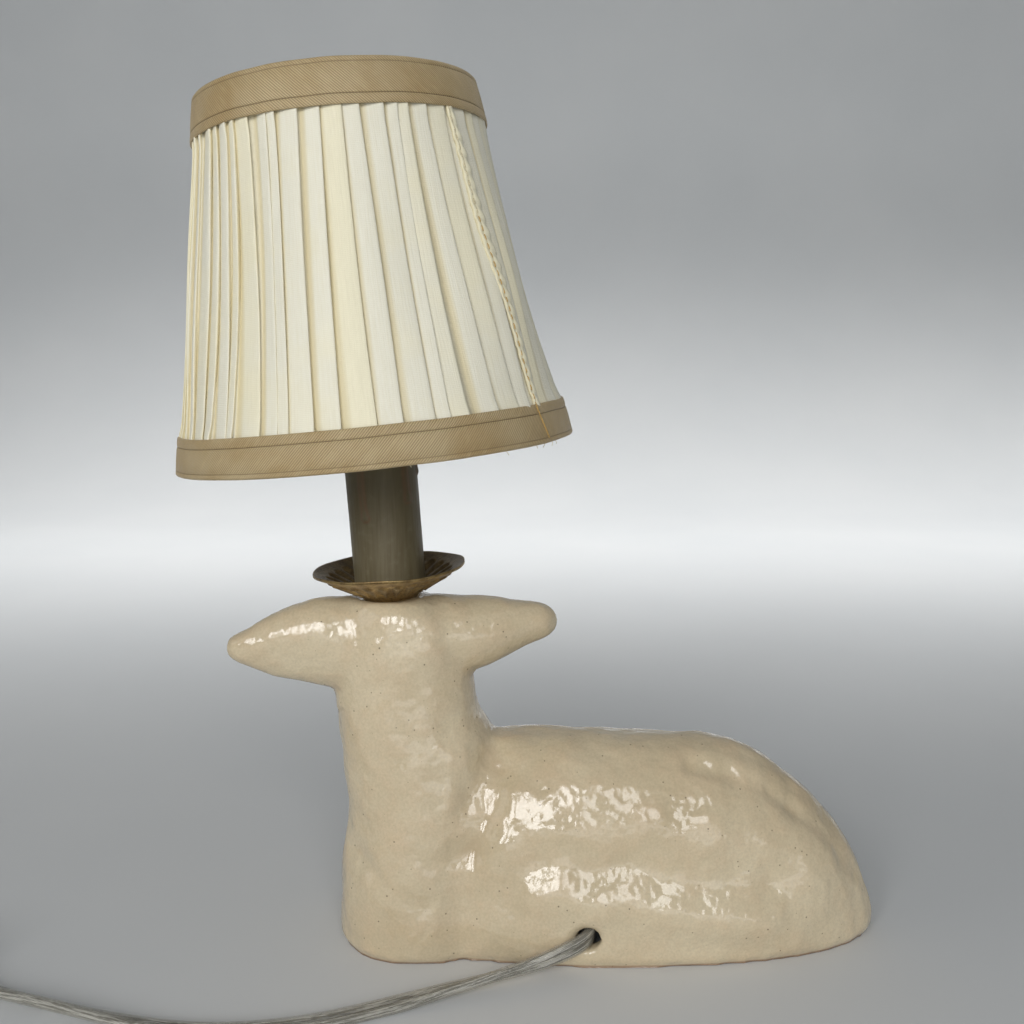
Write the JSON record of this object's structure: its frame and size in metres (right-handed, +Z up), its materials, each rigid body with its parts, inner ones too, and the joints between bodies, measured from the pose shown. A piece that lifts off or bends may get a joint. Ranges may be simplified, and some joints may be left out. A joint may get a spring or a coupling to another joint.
{
  "type": "table lamp",
  "caption": "Low table lamp: glazed ceramic reclining doe with a candle stem on its head, a pleated clip-on shade and a flat clear cord with an in-line switch.",
  "frame": {"origin": "on the table, under the middle of the lamp's box without its free cord", "axes": "+X from the chest to the rump, +Y the side that the doe faces, +Z up"},
  "size_m": [0.4576, 0.1303, 0.2797],
  "materials": {
    "glazed_ceramic": "glossy cream glaze with fine specks",
    "antique_brass": "dark antique brass",
    "candle_resin": "aged ivory resin",
    "bright_brass": "plain brass",
    "plated_steel": "zinc plated",
    "rubber": "matt",
    "phenolic": "moulded",
    "clear_glass": "clear",
    "black_glass": "vitreous",
    "tungsten": "dull wire",
    "solder": "dull",
    "brass_wire": "brass plated wire",
    "lining_cloth": "smooth lining",
    "cream_silk": "knife pleated silky weave",
    "gold_bias_tape": "satin bias tape",
    "clear_cord": "clear insulation over tinned strands",
    "clear_plastic": "clear moulded plastic",
    "white_nylon": "nylon"
  },
  "bodies": {
    "lamp": {"ceramic_body": "glazed_ceramic", "drip_pan": "antique_brass", "candle_sleeve": "candle_resin", "threaded_nipple": "bright_brass", "upper_nut": "bright_brass", "lower_nut": "plated_steel", "steel_washer": "plated_steel", "rubber_washer": "rubber", "socket_bracket": "plated_steel", "socket_shell": "phenolic", "socket_screw_shell": "bright_brass", "socket_contact": "bright_brass", "socket_rivet": "plated_steel", "socket_terminals": "bright_brass", "socket_wires": "clear_cord", "cord_inner": "clear_cord", "cord_strain_tie": "white_nylon", "cord_lead": "clear_cord", "cord_coil": "clear_cord", "cord_tail": "clear_cord", "coil_tie": "white_nylon", "switch_lower_shell": "clear_plastic", "switch_upper_shell": "clear_plastic", "switch_screw": "plated_steel", "switch_contacts": "bright_brass", "plug_body": "clear_plastic", "plug_blades": "bright_brass"},
    "bulb": {"bulb_envelope": "clear_glass", "bulb_base": "bright_brass", "bulb_insulator": "black_glass", "bulb_contact": "solder", "bulb_mount": "clear_glass", "bulb_filament": "tungsten"},
    "clip": {"bulb_clip": "brass_wire"},
    "shade": {"shade_crossbar": "brass_wire", "shade_top_ring": "brass_wire", "shade_bottom_ring": "brass_wire", "shade_ribs": "brass_wire", "shade_lining": "lining_cloth", "shade_pleats": "cream_silk", "shade_top_band": "gold_bias_tape", "shade_bottom_band": "gold_bias_tape", "shade_seam": "cream_silk"},
    "wheel": {"switch_wheel": "white_nylon"}
  },
  "joints": [
    {"name": "bulb_turn", "type": "hinge", "parent": "lamp", "child": "bulb", "pos_m": [-0.05438, 0, 0.18782], "axis": [-0.0976, 0, 0.9952], "range_deg": [0, 1260]},
    {"name": "shade_lift", "type": "slide", "parent": "bulb", "child": "clip", "axis": [-0.0976, 0, 0.9952], "range_m": [0, 0.06]},
    {"name": "shade_tilt", "type": "hinge", "parent": "clip", "child": "shade", "pos_m": [-0.06194, 0, 0.26495], "axis": [0, 1, 0], "range_deg": [-20, 20]},
    {"name": "switch_wheel_turn", "type": "hinge", "parent": "lamp", "child": "wheel", "pos_m": [-0.214, -0.0456, 0.0065], "axis": [0, 0, 1], "continuous": true}
  ]
}
